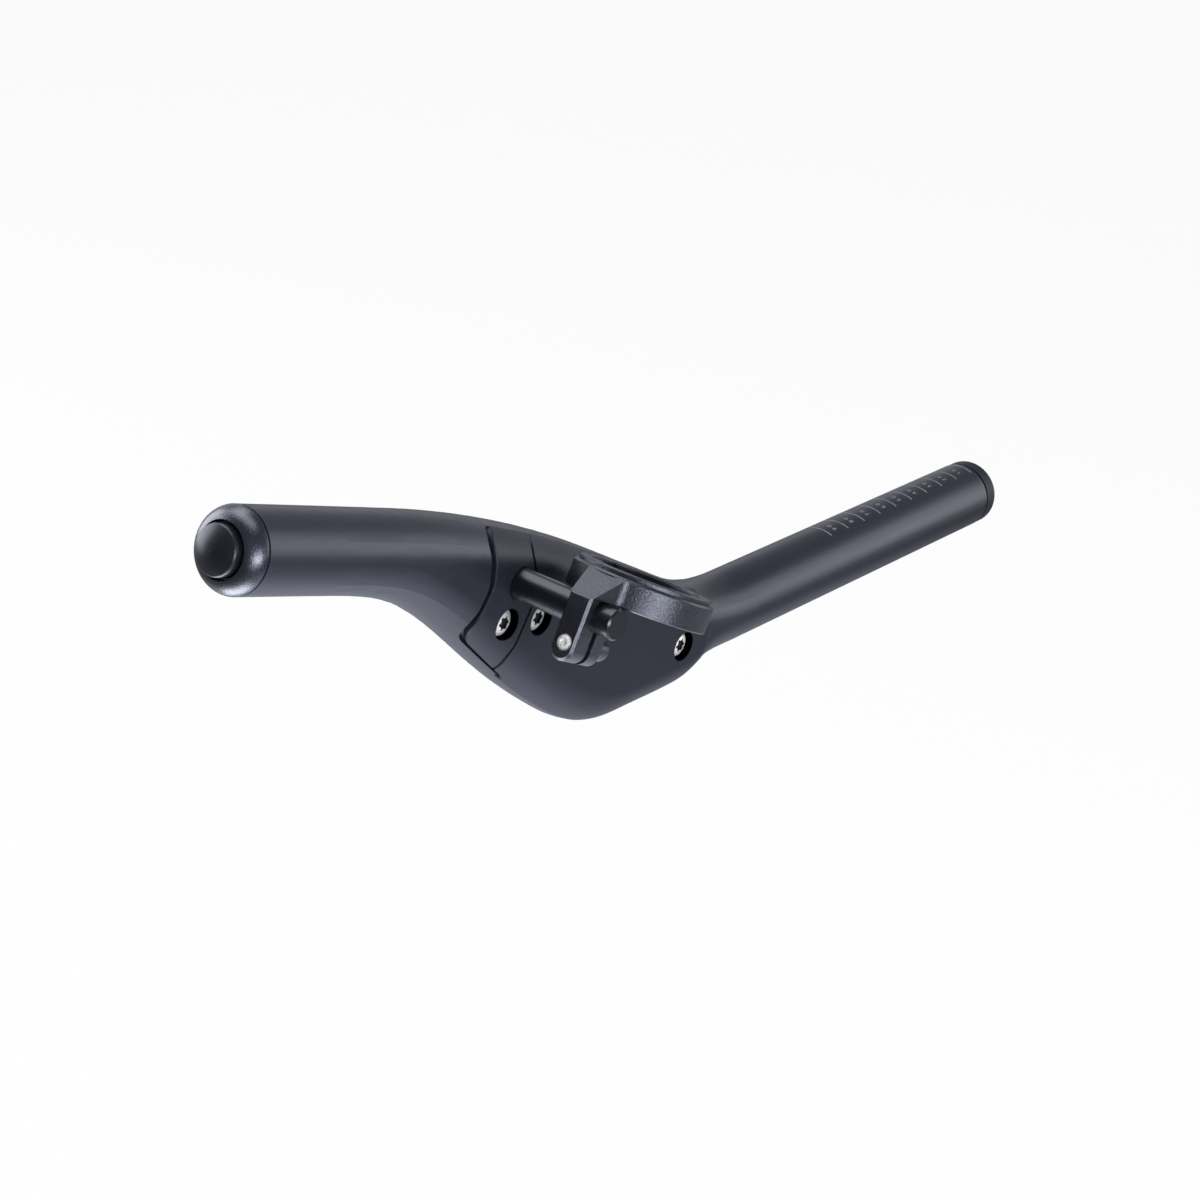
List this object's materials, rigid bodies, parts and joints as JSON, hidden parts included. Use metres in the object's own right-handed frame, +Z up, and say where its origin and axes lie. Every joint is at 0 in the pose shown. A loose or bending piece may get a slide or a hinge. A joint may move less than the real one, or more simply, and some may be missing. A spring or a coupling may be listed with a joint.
{
  "type": "aero handlebar extension",
  "caption": "Bent aero handlebar extension for the right hand with a covered side pod, push button in the hand end and a tilting ring mount for a bike computer.",
  "frame": {"origin": "centre of the rear end of the tube, on its axis", "axes": "+X forward along the rear tube to the hand end, +Y to the rider's inner side where the rod stands out, +Z up"},
  "size_m": [0.3833, 0.0656, 0.105],
  "materials": {
    "satin_black": "satin blue-black coat over moulded carbon",
    "cover_black": "fine matte moulding",
    "stainless": "polished stainless steel",
    "insert_brass": "turned brass",
    "black_anodised": "black anodised, blasted",
    "plug_black": "semi-gloss moulding",
    "button_black": "semi-gloss moulding",
    "board_green": "glass-fibre board",
    "ring_rubber": "matte rubber"
  },
  "bodies": {
    "extension": {"extension_body": "satin_black", "front_cover": "cover_black", "rear_cover": "cover_black", "front_cover_screw": "stainless", "upper_cover_screw": "stainless", "rear_cover_screw": "stainless", "front_insert": "insert_brass", "upper_insert": "insert_brass", "rear_insert": "insert_brass", "mount_rod": "black_anodised", "rod_bolt": "stainless", "plug_body": "plug_black", "tact_switch": "plug_black", "circuit_board": "board_green", "battery_clip": "stainless", "coin_cell": "stainless", "plug_back_cap": "cover_black", "plug_o_ring_front": "ring_rubber", "plug_o_ring_rear": "ring_rubber", "rear_end_cap": "cover_black", "cap_o_ring_front": "ring_rubber", "cap_o_ring_rear": "ring_rubber"},
    "tilt_bracket": {"mount_bracket": "black_anodised", "pinch_bolt": "stainless", "pinch_nut": "black_anodised", "computer_socket": "cover_black", "socket_screw_left": "stainless", "socket_screw_right": "stainless", "socket_screw_rear": "stainless"},
    "push_button": {"button": "button_black", "switch_plunger": "plug_black"}
  },
  "joints": [
    {"name": "mount_tilt", "type": "hinge", "parent": "extension", "child": "tilt_bracket", "pos_m": [0.2669, 0.0345, 0.0455], "axis": [0, 1, 0], "range_deg": [-45, 45]},
    {"name": "button_press", "type": "slide", "parent": "extension", "child": "push_button", "axis": [-0.9636, 0, -0.2672], "range_m": [0, 0.001], "stiffness_N_per_m": 1500, "springref_m": -0.0008}
  ]
}
